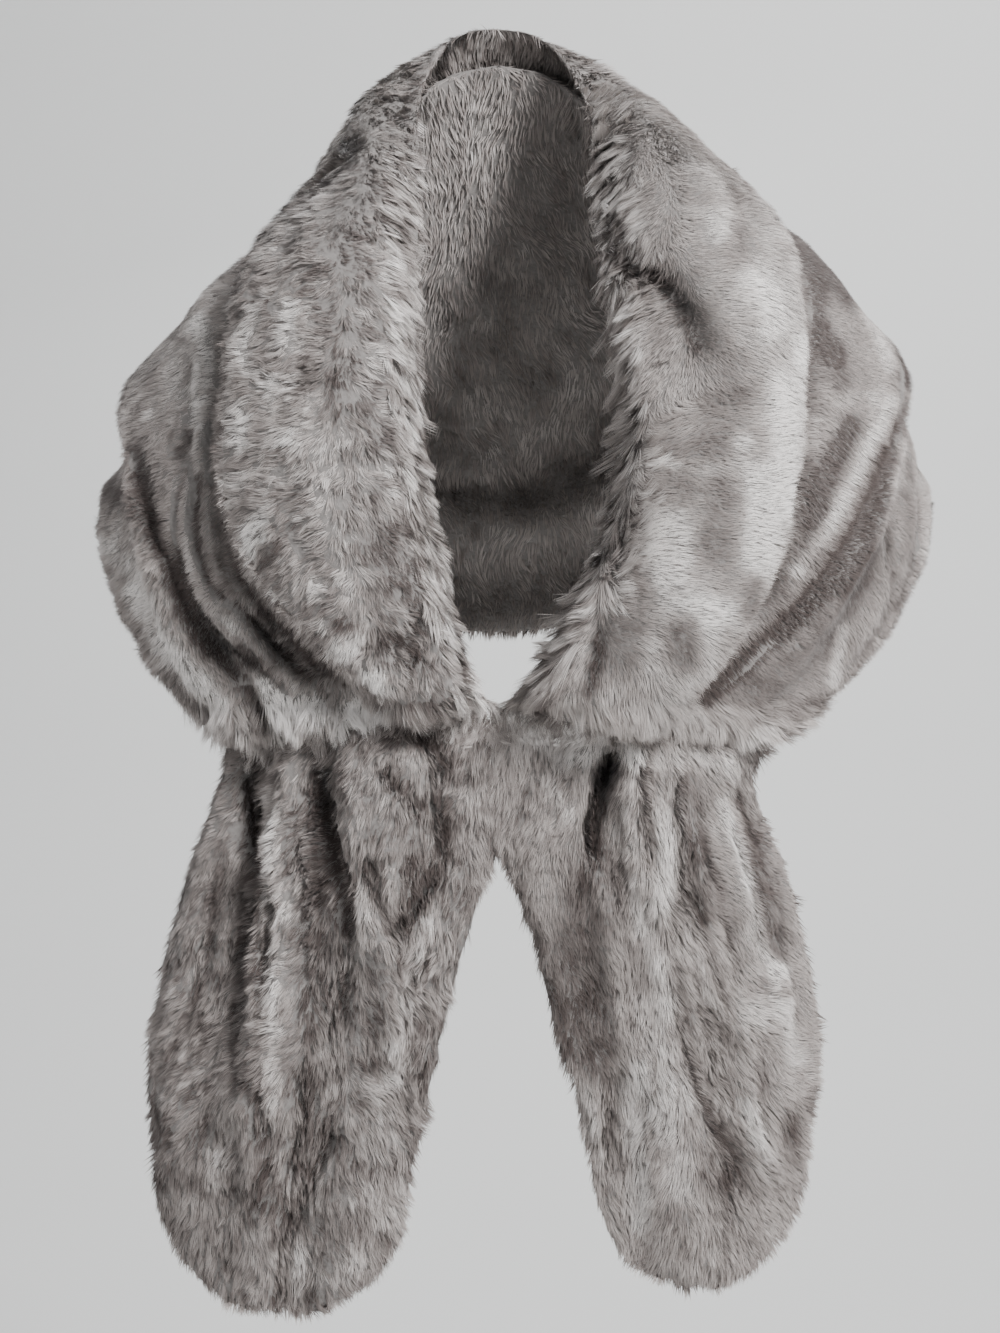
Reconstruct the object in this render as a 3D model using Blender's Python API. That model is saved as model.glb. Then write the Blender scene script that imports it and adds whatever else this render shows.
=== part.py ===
"""Fur collar wrap: a long strip of deep-pile cloth worn round the shoulders. Its upper part is turned over
as a wide shawl collar. Both fronts are gathered into a cinch below the bust, and end in two round tails.

Metres, +Z up. The front faces -Y and the wearer's left is +X. The origin is at the base of the neck, between
the shoulders that carry the wrap. Every wall has the full height of its pile.
"""

from collections import namedtuple

import bpy
import numpy as np

MM = 0.001
PILE_WALL = 15 * MM  # cape and tails: backing, and the pile on both faces
COLLAR_WALL = 25 * MM  # the collar is two such layers, pressed together
SEAM = 1.0 * MM  # gap between a tail and what is above the cinch

PILE_EDGE = 10 * MM  # how far in from an edge a wall reaches its full thickness
COLLAR_EDGE = 22 * MM
CINCH_EDGE = 7 * MM
FOLD_RISE = 14 * MM  # folds rise from the flat cinch, and from the collar's edge, within this distance
NECK_INSET = 24 * MM  # the cape's neck edge lies this far inside the collar's roll
COLLAR_GAP = 2.0 * MM  # between the cape and the collar that lies on it

ALONG_CAPE = 46  # faces along and across each piece
ACROSS_CAPE = 32
ACROSS_COLLAR = 14
ALONG_TAIL = 18
ALONG_ROUND = 7
ACROSS_TAIL = 24
FINE_ACROSS = 49  # points across the fine surface that pieces are read from

# Where a piece's points are closer together, as shares of its length or width at either edge.
TURN_ALONG = 0.02
TURN_CAPE = 0.04
TURN_COLLAR = 0.17
TURN_TAIL = 0.08
TURN_STEPS = (0, 0.06, 0.22, 0.52)  # and how those points are spaced

RIGHT, LEFT = -1, 1  # the wearer's sides, as signs of X

# One row for each section of the wrap, from the cinch over the shoulder to the back. Each is a smooth curve
# through five places, (out from the middle, back, up) in mm, from the neck to the hem. collar: how much of
# it the collar covers.
Section = namedtuple("Section", "neck inner middle outer hem collar")

RIGHT_SECTIONS = (
    Section((2, -133, -287), (44, -140, -292), (85, -134, -299), (125, -118, -306), (160, -95, -314), 46),
    Section((17, -136, -250), (70, -150, -255), (121, -138, -260), (170, -105, -263), (210, -54, -260), 76),
    Section((30, -138, -195), (88, -151, -192), (148, -133, -194), (204, -88, -200), (241, -18, -205), 116),
    Section((40, -130, -122), (98, -139, -116), (158, -115, -118), (214, -58, -130), (252, 14, -172), 117),
    Section((44, -106, -46), (97, -105, -38), (149, -78, -42), (206, -24, -62), (248, 44, -164), 108),
    Section((44, -62, 30), (86, -57, 13), (128, -33, -10), (186, 7, -22), (236, 72, -166), 102),
    Section((47, -18, 78), (78, -10, 48), (114, 8, 14), (169, 41, -9), (212, 96, -182), 106),
    Section((48, 20, 114), (75, 36, 70), (108, 58, 18), (153, 89, -40), (172, 118, -204), 120),
    Section((40, 52, 150), (57, 74, 91), (77, 97, 16), (102, 123, -88), (117, 137, -226), 132),
    Section((24, 70, 170), (31, 91, 101), (41, 113, 18), (54, 137, -97), (61, 148, -240), 140),
)
LEFT_SECTIONS = (
    Section((2, -133, -287), (44, -140, -292), (85, -134, -299), (125, -118, -306), (160, -95, -314), 86),
    Section((34, -138, -245), (84, -150, -250), (134, -138, -257), (182, -104, -263), (220, -50, -264), 98),
    Section((58, -138, -190), (113, -151, -187), (172, -131, -190), (226, -82, -196), (262, -12, -208), 108),
    Section((72, -128, -122), (128, -137, -114), (184, -110, -114), (240, -52, -124), (278, 22, -168), 104),
    Section((62, -106, -47), (120, -107, -34), (178, -78, -32), (233, -18, -46), (278, 52, -158), 120),
    Section((58, -62, 30), (106, -57, 24), (152, -33, 6), (207, 12, 0), (264, 80, -160), 116),
    Section((58, -18, 80), (98, -8, 60), (142, 12, 28), (191, 45, 6), (240, 100, -180), 122),
    Section((55, 22, 116), (87, 37, 78), (124, 59, 28), (166, 91, -32), (190, 121, -202), 128),
    Section((43, 54, 151), (61, 77, 94), (82, 100, 20), (108, 125, -86), (123, 138, -225), 136),
    Section((25, 71, 170), (33, 92, 102), (43, 114, 20), (56, 138, -96), (63, 149, -239), 141),
)
SECTIONS = {RIGHT: RIGHT_SECTIONS, LEFT: LEFT_SECTIONS}
CENTRE_BACK = Section((0, 76, 175), (0, 97, 104), (0, 118, 19), (0, 141, -99), (0, 152, -245), 142)
CINCH_TO_BACK = len(SECTIONS[RIGHT])  # sections are counted from the right cinch, over this one, to the left

# A fold is a soft ridge, or a trough where its height is negative. It runs from one counted section to
# another, along a path of evenly spaced shares of the way from neck to hem. steep: its outer side's width as
# a share of its inner side's. lean: how far its crest hangs over its outer side. All three sizes are in mm.
Fold = namedtuple("Fold", "start stop path width height steep lean")
FOLD_FADE = 0.25  # a fold rises and falls within this share of its length at each end

CAPE_FOLDS = (
    # the wearer's right: a swag that hangs over the band at the hem, and narrow folds beside the collar
    Fold(-2, 10, (0.84, 0.80, 0.67, 0.71, 0.70, 0.64, 0.62), 30, 17, 0.42, 5),
    Fold(-2, 10, (0.98, 0.96, 0.93, 0.93, 0.95, 0.95, 0.95), 20, 9, 1.0, 0),
    Fold(-1, 4.5, (0.52, 0.48, 0.47, 0.50), 9, 7, 0.7, 2),
    Fold(-1, 4.0, (0.62, 0.53, 0.54, 0.60), 8, 7, 0.7, 2),
    Fold(-1, 3.4, (0.72, 0.60, 0.61, 0.66), 8, 6, 0.7, 2),
    # the wearer's left: one broad swag from the collar's end, over another that ends in a narrow band
    Fold(10.5, 19.9, (0.64, 0.64, 0.64, 0.71, 0.67, 0.60, 0.46), 32, 18, 0.42, 5),
    Fold(12.5, 21.5, (0.88, 0.86, 0.83, 0.82, 0.82, 0.80), 15, 7, 0.8, 2),
    Fold(11, 22, (0.97, 0.96, 0.95, 0.94, 0.94, 0.94), 17, 9, 1.0, 0),
    Fold(18.2, 21.5, (0.64, 0.68, 0.72), 12, 7, 0.8, 0),
    # across the back: shallow swags from shoulder to shoulder
    Fold(6, 14, (0.62, 0.68, 0.74, 0.68, 0.62), 22, 9, 0.6, 3),
    Fold(5.5, 14.5, (0.80, 0.86, 0.92, 0.86, 0.80), 24, 8, 0.7, 2),
)

# A gather is a short ridge that starts at the cinch. place: share across; width, height and length in mm.
Gather = namedtuple("Gather", "place width height length")

GATHERS = {
    RIGHT: (
        Gather(0.42, 6, 6, 55),
        Gather(0.57, 6, 6, 45),
        Gather(0.90, 6, 7, 60),
    ),
    LEFT: (
        Gather(0.58, 6, 5, 50),
        Gather(0.80, 6, 7, 60),
        Gather(0.90, 6, 6, 50),
    ),
}

# Swells and hollows in the collar's outer face, in shares of the way from its roll to its edge.
COLLAR_FOLDS = (
    Fold(1.0, 5.0, (0.50, 0.52, 0.55), 26, 6, 1.0, 0),
    Fold(0.4, 2.6, (0.66, 0.40, 0.26), 11, -6, 1.0, 0),
    Fold(4.2, 6.6, (0.70, 0.50, 0.24), 13, -6, 1.0, 0),
    Fold(6.0, 9.5, (0.40, 0.45, 0.50), 24, 6, 1.0, 0),
    Fold(8.6, 11.2, (0.72, 0.55, 0.66), 13, -5, 1.0, 0),
    Fold(10.8, 14.0, (0.55, 0.48, 0.42), 24, 6, 1.0, 0),
    Fold(15.1, 17.5, (0.04, 0.26, 0.62), 11, -12, 0.7, 0),
    Fold(14.2, 17.4, (0.34, 0.52, 0.78), 17, 7, 0.8, 0),
    Fold(16.2, 19.0, (0.52, 0.58, 0.56), 28, 7, 1.0, 0),
    Fold(17.8, 19.6, (0.20, 0.30, 0.52), 10, -5, 1.0, 0),
)

# One row for each level of a tail below the cinch, in mm: its edges, (out from the middle, back), and how
# far back its middle lies. Below the last row the tail ends in a blunt half round.
Level = namedtuple("Level", "up inner outer middle")

TAILS = {
    RIGHT: (
        Level(-345, (1, -132), (172, -88), -142),
        Level(-385, (2, -131), (188, -84), -143),
        Level(-440, (17, -130), (203, -86), -141),
        Level(-500, (31, -129), (212, -92), -138),
        Level(-564, (46, -129), (207, -100), -135),
    ),
    LEFT: (
        Level(-345, (1, -132), (162, -88), -142),
        Level(-385, (6, -131), (178, -84), -143),
        Level(-435, (20, -130), (191, -86), -141),
        Level(-490, (35, -129), (198, -92), -138),
        Level(-548, (51, -129), (191, -100), -135),
    ),
}
ROUND_END = 80 * MM  # height of that half round
BLUNTNESS = 2.3  # 2 would make it half an ellipse
TIP_WIDTH = 0.01  # of a tail's width, at its very end

# A tail's folds: start and stop in mm down from the cinch, places as shares across. One that starts above
# the cinch is already at its full height there.
TAIL_FOLDS = {
    RIGHT: (
        Fold(-80, 230, (0.86, 0.75, 0.62), 10, -14, 1.0, 0),
        Fold(-80, 180, (0.66, 0.56, 0.38), 10, -14, 1.0, 0),
        Fold(-80, 300, (0.74, 0.62, 0.52), 15, 9, 1.0, 0),
        Fold(-80, 330, (0.95, 0.88, 0.82), 16, 7, 1.0, 0),
        Fold(-60, 175, (0.54, 0.42, 0.24), 20, 10, 0.4, 2),
        Fold(-40, 85, (0.24, 0.25, 0.26), 12, 7, 1.0, 0),
        Fold(60, 420, (0.10, 0.14, 0.20), 18, 6, 1.0, 0),
        Fold(120, 440, (0.39, 0.38, 0.54), 9, -8, 1.0, 0),
    ),
    LEFT: (
        Fold(-80, 120, (0.46, 0.385, 0.33), 9, -14, 1.0, 0),
        Fold(-80, 200, (0.52, 0.47, 0.44), 9, 7, 1.0, 0),
        Fold(-80, 150, (0.57, 0.545, 0.50), 6, -5, 1.0, 0),
        Fold(-80, 200, (0.64, 0.62, 0.55), 9, 7, 1.0, 0),
        Fold(-80, 180, (0.71, 0.68, 0.60), 9, -7, 1.0, 0),
        Fold(-80, 250, (0.80, 0.80, 0.78), 17, 9, 0.5, 2),
        Fold(-40, 220, (0.20, 0.26, 0.30), 20, -6, 1.0, 0),
        Fold(60, 340, (0.52, 0.55, 0.64), 9, -9, 1.0, 0),
        Fold(180, 330, (0.26, 0.20, 0.14), 9, -5, 1.0, 0),
        Fold(170, 420, (0.40, 0.40, 0.44), 26, 6, 1.0, 0),
    ),
}

FUR = {
    "cape": (0.42, 0.41, 0.41),
    "collar": (0.50, 0.49, 0.48),
    "tail_right": (0.40, 0.39, 0.38),
    "tail_left": (0.46, 0.45, 0.44),
}
FUR_ROUGHNESS = 0.9


def clear_scene():
    for found in list(bpy.data.objects):
        bpy.data.objects.remove(found, do_unlink=True)


def smooth_step(t):
    t = np.clip(t, 0, 1)
    return t * t * (3 - 2 * t)


def round_edge(depth, reach):
    """Share of a wall's thickness at this depth in from its edge: a quarter ellipse, then full."""
    return np.sqrt(1 - (1 - np.clip(depth / reach, 0, 1)) ** 2)


def spline(rows, at):
    """A smooth curve through the rows, read at places counted in rows."""
    rows = np.asarray(rows, float)
    at = np.asarray(at, float)
    last = len(rows) - 1
    padded = np.concatenate([[2 * rows[0] - rows[1]], rows, [2 * rows[-1] - rows[-2]]])
    slopes = (padded[2:] - padded[:-2]) / 2
    start = np.clip(np.floor(at).astype(int), 0, last - 1)
    t = (at - start).reshape((-1,) + (1,) * (rows.ndim - 1))
    return (
        (2 * t**3 - 3 * t**2 + 1) * rows[start]
        + (t**3 - 2 * t**2 + t) * slopes[start]
        + (3 * t**2 - 2 * t**3) * rows[start + 1]
        + (t**3 - t**2) * slopes[start + 1]
    )


def graded(count, ends):
    """Fractions 0 to 1, closer together within ends of either end, where an edge turns round."""
    edge = np.array(TURN_STEPS) * ends
    even = np.linspace(ends, 1 - ends, count + 1 - 2 * len(edge))
    return np.concatenate([edge, even, (1 - edge)[::-1]])


def lengths_along(grid):
    """Distance of each point from the first in its row."""
    steps = np.linalg.norm(np.diff(grid, axis=1), axis=2)
    return np.concatenate([np.zeros((len(grid), 1)), np.cumsum(steps, axis=1)], axis=1)


def outward(grid):
    """Unit normals of a grid of points."""
    normals = np.cross(np.gradient(grid, axis=0), np.gradient(grid, axis=1))
    return normals / np.linalg.norm(normals, axis=2, keepdims=True)


def at_lengths(grid, wanted):
    """The grid's rows, and its unit normals, read at these distances from their first point."""
    along = lengths_along(grid)
    values = np.concatenate([grid, outward(grid)], axis=2)
    read = [[np.interp(w, a, row[:, axis]) for axis in range(6)] for w, a, row in zip(wanted, along, values)]
    points, normals = np.split(np.array(read).transpose(0, 2, 1), 2, axis=2)
    return points, normals / np.linalg.norm(normals, axis=2, keepdims=True)


def fold_shape(fold, along, share, width):
    """A fold's share of its height at each point: along and share are places along and across."""
    t = (along - fold.start) / (fold.stop - fold.start)
    place = spline(fold.path, np.clip(t, 0, 1).ravel() * (len(fold.path) - 1)).reshape(t.shape)
    off = (share - place) * width / (fold.width * MM)
    off = np.where(off > 0, off / fold.steep, off)
    fade = smooth_step(t / FOLD_FADE) * smooth_step((1 - t) / FOLD_FADE)
    return np.exp(-(off**2)) * fade


def fold_moves(folds, along, share, width):
    """How far these folds together move each point outwards, and across towards the hem."""
    shapes = [fold_shape(fold, along, share, width) * MM for fold in folds]
    lift = sum(fold.height * shape for fold, shape in zip(folds, shapes))
    lean = sum(fold.lean * shape for fold, shape in zip(folds, shapes))
    return lift, lean


def gather_height(gather, below, share, width):
    """How far a gather lifts each point at this distance from the cinch."""
    off = (share - gather.place) * width / (gather.width * MM)
    fade = 1 - smooth_step(below / (gather.length * MM))
    return gather.height * MM * np.exp(-(off**2)) * fade


def make_piece(name, outer, inner):
    """A closed wall between two grids of points that share their edges."""
    rows, columns = outer.shape[:2]
    edge = np.zeros((rows, columns), bool)
    edge[[0, -1], :] = True
    edge[:, [0, -1]] = True
    outer_index = np.arange(rows * columns).reshape(rows, columns)
    inner_index = outer_index.copy()
    inner_index[~edge] = rows * columns + np.arange((~edge).sum())
    points = np.concatenate([outer.reshape(-1, 3), inner[~edge]])
    faces = []
    for i in range(rows - 1):
        for j in range(columns - 1):
            square = [(i, j), (i + 1, j), (i + 1, j + 1), (i, j + 1)]
            faces.append([int(outer_index[k]) for k in square])
            faces.append([int(inner_index[k]) for k in reversed(square)])
    mesh = bpy.data.meshes.new(name)
    mesh.from_pydata(points.tolist(), [], faces)
    mesh.update()
    mesh.shade_smooth()
    mesh.materials.append(make_fur(name))
    piece = bpy.data.objects.new(name, mesh)
    bpy.context.scene.collection.objects.link(piece)
    return piece


def make_fur(name):
    material = bpy.data.materials.new(name)
    material.use_nodes = True
    shader = material.node_tree.nodes["Principled BSDF"]
    shader.inputs["Base Color"].default_value = (*FUR[name], 1)
    shader.inputs["Roughness"].default_value = FUR_ROUGHNESS
    shader.inputs["Metallic"].default_value = 0
    return material


def section_table():
    """All sections from the right cinch to the left, and how much of each the collar covers."""
    ordered = [(RIGHT, section) for section in SECTIONS[RIGHT]]
    ordered.append((LEFT, CENTRE_BACK))
    ordered += [(LEFT, section) for section in reversed(SECTIONS[LEFT])]
    places = [[(side * x, y, z) for x, y, z in section[:5]] for side, section in ordered]
    return np.array(places) * MM, np.array([section.collar for side, section in ordered]) * MM


def wrap_surface(along):
    """Finely spaced points of the wrap's middle surface, and the collar's reach, at these places along."""
    places, reach = section_table()
    sections = spline(places, along)
    across = np.linspace(0, places.shape[1] - 1, FINE_ACROSS)
    surface = np.array([spline(section, across) for section in sections])
    return surface, spline(reach, along)


def cinch_distance(along, surface):
    """Distance along the strip from the nearer cinch."""
    middle = surface[:, surface.shape[1] // 2]
    steps = np.linalg.norm(np.diff(middle, axis=0), axis=1)
    run = np.concatenate([[0], np.cumsum(steps)])
    return np.minimum(run, run[-1] - run)


def cinch_edge(below):
    """Share of the pile wall's thickness at this distance from the cinch."""
    return round_edge(below, CINCH_EDGE)


def across_unit(grid):
    """Unit vectors across the strip."""
    across = np.gradient(grid, axis=1)
    return across / np.linalg.norm(across, axis=2, keepdims=True)


def folded(middle, normal, lift, lean):
    """A middle surface with its folds: lift moves it outwards, lean towards the hem."""
    return middle + normal * lift[..., None] + across_unit(middle) * lean[..., None]


def make_wall(name, middle, normal, outer, inner):
    """A closed wall whose faces lie at these heights from a middle surface."""
    return make_piece(name, middle + normal * outer[..., None], middle + normal * inner[..., None])


def make_cape(along):
    surface, reach = wrap_surface(along)
    width = lengths_along(surface)[:, -1:]
    below = cinch_distance(along, surface)[:, None]
    from_neck = NECK_INSET + (width - NECK_INSET) * graded(ACROSS_CAPE, TURN_CAPE)
    share = from_neck / width
    middle, normal = at_lengths(surface, from_neck)

    places = np.broadcast_to(along[:, None], share.shape)
    lift, lean = fold_moves(CAPE_FOLDS, places, share, width)
    for side, gathers in GATHERS.items():
        on_side = (places - CINCH_TO_BACK) * side > 0
        lift = lift + sum(gather_height(gather, below, share, width) for gather in gathers) * on_side
    past_collar = from_neck - reach[:, None]
    clear = smooth_step((past_collar - MM) / FOLD_RISE) * smooth_step(below / FOLD_RISE)

    half = PILE_WALL / 2 * round_edge(from_neck - NECK_INSET, PILE_EDGE)
    half = half * round_edge(width - from_neck, PILE_EDGE) * cinch_edge(below)
    return make_wall("cape", folded(middle, normal, lift * clear, lean * clear), normal, half, -half)


def make_collar(along):
    surface, reach = wrap_surface(along)
    reach = reach[:, None]
    below = cinch_distance(along, surface)[:, None]
    from_roll = reach * graded(ACROSS_COLLAR, TURN_COLLAR)
    middle, normal = at_lengths(surface, from_roll)

    end = round_edge(below, COLLAR_EDGE)
    rise = PILE_WALL / 2 * cinch_edge(below) + COLLAR_GAP + COLLAR_WALL / 2 * end
    rise = rise * smooth_step(from_roll / NECK_INSET)
    full = round_edge(from_roll, COLLAR_EDGE) * round_edge(reach - from_roll, COLLAR_EDGE) * end
    places = np.broadcast_to(along[:, None], from_roll.shape)
    swell, lean = fold_moves(COLLAR_FOLDS, places, from_roll / reach, reach)
    outer = rise + (COLLAR_WALL / 2 + swell) * full
    inner = rise - COLLAR_WALL / 2 * full
    return make_wall("collar", middle, normal, outer, inner)


def tail_surface(side):
    """Finely spaced points of a tail's middle surface, from the cinch to its round end."""
    cinch_row = np.array([(side * x, y, z) for x, y, z in SECTIONS[side][0][:5]]) * MM
    across = np.linspace(0, 1, FINE_ACROSS)
    top = spline(cinch_row, across * (len(cinch_row) - 1)) - np.array([0, 0, SEAM])
    rows = [top]
    for level in TAILS[side]:
        x = level.inner[0] + (level.outer[0] - level.inner[0]) * across
        y = spline(np.array([level.inner[1], level.middle, level.outer[1]], float), across * 2)
        rows.append(np.stack([side * x, y, np.full_like(x, level.up)], axis=1) * MM)
    straight = spline(np.array(rows), np.linspace(0, len(rows) - 1, ALONG_TAIL))
    last = rows[-1]
    middle = last.mean(axis=0)
    turned = []
    for turn in np.linspace(0, np.pi / 2, ALONG_ROUND + 1)[1:]:
        narrowing = max(np.cos(turn) ** (2 / BLUNTNESS), TIP_WIDTH)
        row = middle + (last - middle) * narrowing
        row[:, 1] = middle[1] + (last[:, 1] - middle[1]) * narrowing
        row[:, 2] = last[:, 2] - ROUND_END * np.sin(turn) ** (2 / BLUNTNESS)
        turned.append(row)
    return np.concatenate([straight, turned])


def make_tail(name, side):
    surface = tail_surface(side)
    width = lengths_along(surface)[:, -1:]
    share = np.broadcast_to(graded(ACROSS_TAIL, TURN_TAIL), (len(surface), ACROSS_TAIL + 1))
    middle, normal = at_lengths(surface, share * width)
    normal = normal * side

    centre = middle[:, ACROSS_TAIL // 2]
    down = np.concatenate([[0], np.cumsum(np.linalg.norm(np.diff(centre, axis=0), axis=1))])[:, None]
    places = np.broadcast_to(down / MM, share.shape)
    lift, lean = fold_moves(TAIL_FOLDS[side], places, share, width)
    clear = smooth_step(down / FOLD_RISE) * smooth_step((down[-1] - down) / FOLD_RISE)

    from_side = np.minimum(share, 1 - share) * width
    half = PILE_WALL / 2 * round_edge(from_side, PILE_EDGE) * cinch_edge(down)
    half = half * round_edge(down[-1] - down, PILE_EDGE)
    if side == RIGHT:
        half = -half
    return make_wall(name, folded(middle, normal, lift * clear, lean * clear), normal, half, -half)


def main():
    clear_scene()
    along = graded(ALONG_CAPE, TURN_ALONG) * 2 * CINCH_TO_BACK
    make_cape(along)
    make_collar(along)
    make_tail("tail_right", RIGHT)
    make_tail("tail_left", LEFT)


main()
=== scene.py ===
import math

import bpy
import numpy as np
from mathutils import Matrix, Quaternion, Vector, noise
from mathutils.bvhtree import BVHTree
from mathutils.kdtree import KDTree


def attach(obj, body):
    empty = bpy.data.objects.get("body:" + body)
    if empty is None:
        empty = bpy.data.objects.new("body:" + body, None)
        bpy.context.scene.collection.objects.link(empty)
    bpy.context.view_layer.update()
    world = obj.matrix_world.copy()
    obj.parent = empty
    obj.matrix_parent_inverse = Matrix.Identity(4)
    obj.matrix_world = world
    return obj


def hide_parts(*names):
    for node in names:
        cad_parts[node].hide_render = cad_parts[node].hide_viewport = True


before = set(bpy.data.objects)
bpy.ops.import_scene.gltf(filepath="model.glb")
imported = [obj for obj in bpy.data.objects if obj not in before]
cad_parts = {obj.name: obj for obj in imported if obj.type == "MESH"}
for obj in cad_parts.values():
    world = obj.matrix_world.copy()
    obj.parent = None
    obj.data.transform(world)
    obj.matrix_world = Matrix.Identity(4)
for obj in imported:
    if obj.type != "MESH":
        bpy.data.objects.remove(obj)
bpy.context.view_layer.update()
mm = 0.001
eye = Vector((0.003, -1.40, -0.264))  # where the camera stands
print("frame loaded")


def onlySelect(piece):
    bpy.ops.object.select_all(action="DESELECT")
    piece.select_set(True)
    bpy.context.view_layer.objects.active = piece


def addPiece(name, data):
    piece = bpy.data.objects.new(name, data)
    bpy.context.scene.collection.objects.link(piece)
    return piece


def vectors(rows, field):
    values = np.empty(len(rows) * 3)
    rows.foreach_get(field, values)
    return values.reshape(-1, 3)


def places(mesh):
    return vectors(mesh.vertices, "co")


def outward(mesh):
    return vectors(mesh.vertex_normals, "vector")


def putPlaces(mesh, points):
    mesh.vertices.foreach_set("co", points.ravel())
    mesh.update()


def unit(vectors):
    return vectors / np.maximum(np.linalg.norm(vectors, axis=-1, keepdims=True), 1e-9)


def ease(t):
    t = np.clip(t, 0, 1)
    return t * t * (3 - 2 * t)


def softNoise(points, size, seed):
    shift = Vector((seed * 3.1, seed * 1.7, seed * 5.3))
    return np.array([noise.noise(Vector(p) / size + shift) for p in points])


def surfaceTree(mesh):
    return BVHTree.FromPolygons([v.co for v in mesh.vertices], [tuple(p.vertices) for p in mesh.polygons])


def nearestTree(points):
    tree = KDTree(len(points))
    for k, point in enumerate(points):
        tree.insert(point, k)
    tree.balance()
    return tree


# Places on the front are given in mm on the upright plane through the neck, as the camera sees it.
def seen(tree, x, z):
    return tree.ray_cast(eye, (Vector((x * mm, 0, z * mm)) - eye).normalized())


def seenFromBehind(tree, x, z):
    return tree.ray_cast(Vector((x * mm, 1, z * mm)), Vector((0, -1, 0)))


def onPlane(points):
    share = -eye.y / (points[:, 1] - eye.y)
    across = eye.x + (points[:, 0] - eye.x) * share
    height = eye.z + (points[:, 2] - eye.z) * share
    return np.stack([across, height], 1) / mm


sink = 5 * mm  # how far each backing lies below its solid's face, under the pile
detail = 2  # rounds of subdivision, so that creases and pile have enough places
cinchReach = 9 * mm  # as near as this to the piece beside it, a backing runs on to it,
cinchStep = 6 * mm  # and by as much as this
deepestPress = 16 * mm  # creases that cross move no place further
creaseEnds = 0.22  # a crease rises out over this share of its length at each end

thin = {"wall": 5 * mm, "through": 0.9}
# flat: the cut, in metres. wall: the backing's thickness. through: how much of a crease its other face
# follows. ripple: (height, size) of the cloth's small unevenness on the wearer's right and left.
cape = {
    "name": "capeCloth",
    "node": "cape",
    "flat": (0.42, 1.31),
    "area": 0.37,
    "held": "draped",
    **thin,
    "ripple": ((1.5 * mm, 26 * mm), (1.2 * mm, 32 * mm)),
}
collar = {
    "name": "collarCloth",
    "node": "collar",
    "flat": (0.15, 1.27),
    "area": 0.175,
    "held": "folded",
    "wall": 15 * mm,
    "through": 0.0,
    "ripple": ((2.2 * mm, 15 * mm), (1.6 * mm, 34 * mm)),
}
tailRight = {
    "name": "tailRightCloth",
    "node": "tail_right",
    "flat": (0.21, 0.36),
    "area": 0.066,
    "held": "hung",
    **thin,
    "ripple": ((1.6 * mm, 20 * mm), (1.6 * mm, 20 * mm)),
}
tailLeft = {
    "name": "tailLeftCloth",
    "node": "tail_left",
    "flat": (0.2, 0.34),
    "area": 0.058,
    "held": "hung",
    **thin,
    "ripple": ((1.4 * mm, 24 * mm), (1.4 * mm, 24 * mm)),
}
sheets = (cape, collar, tailRight, tailLeft)

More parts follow.
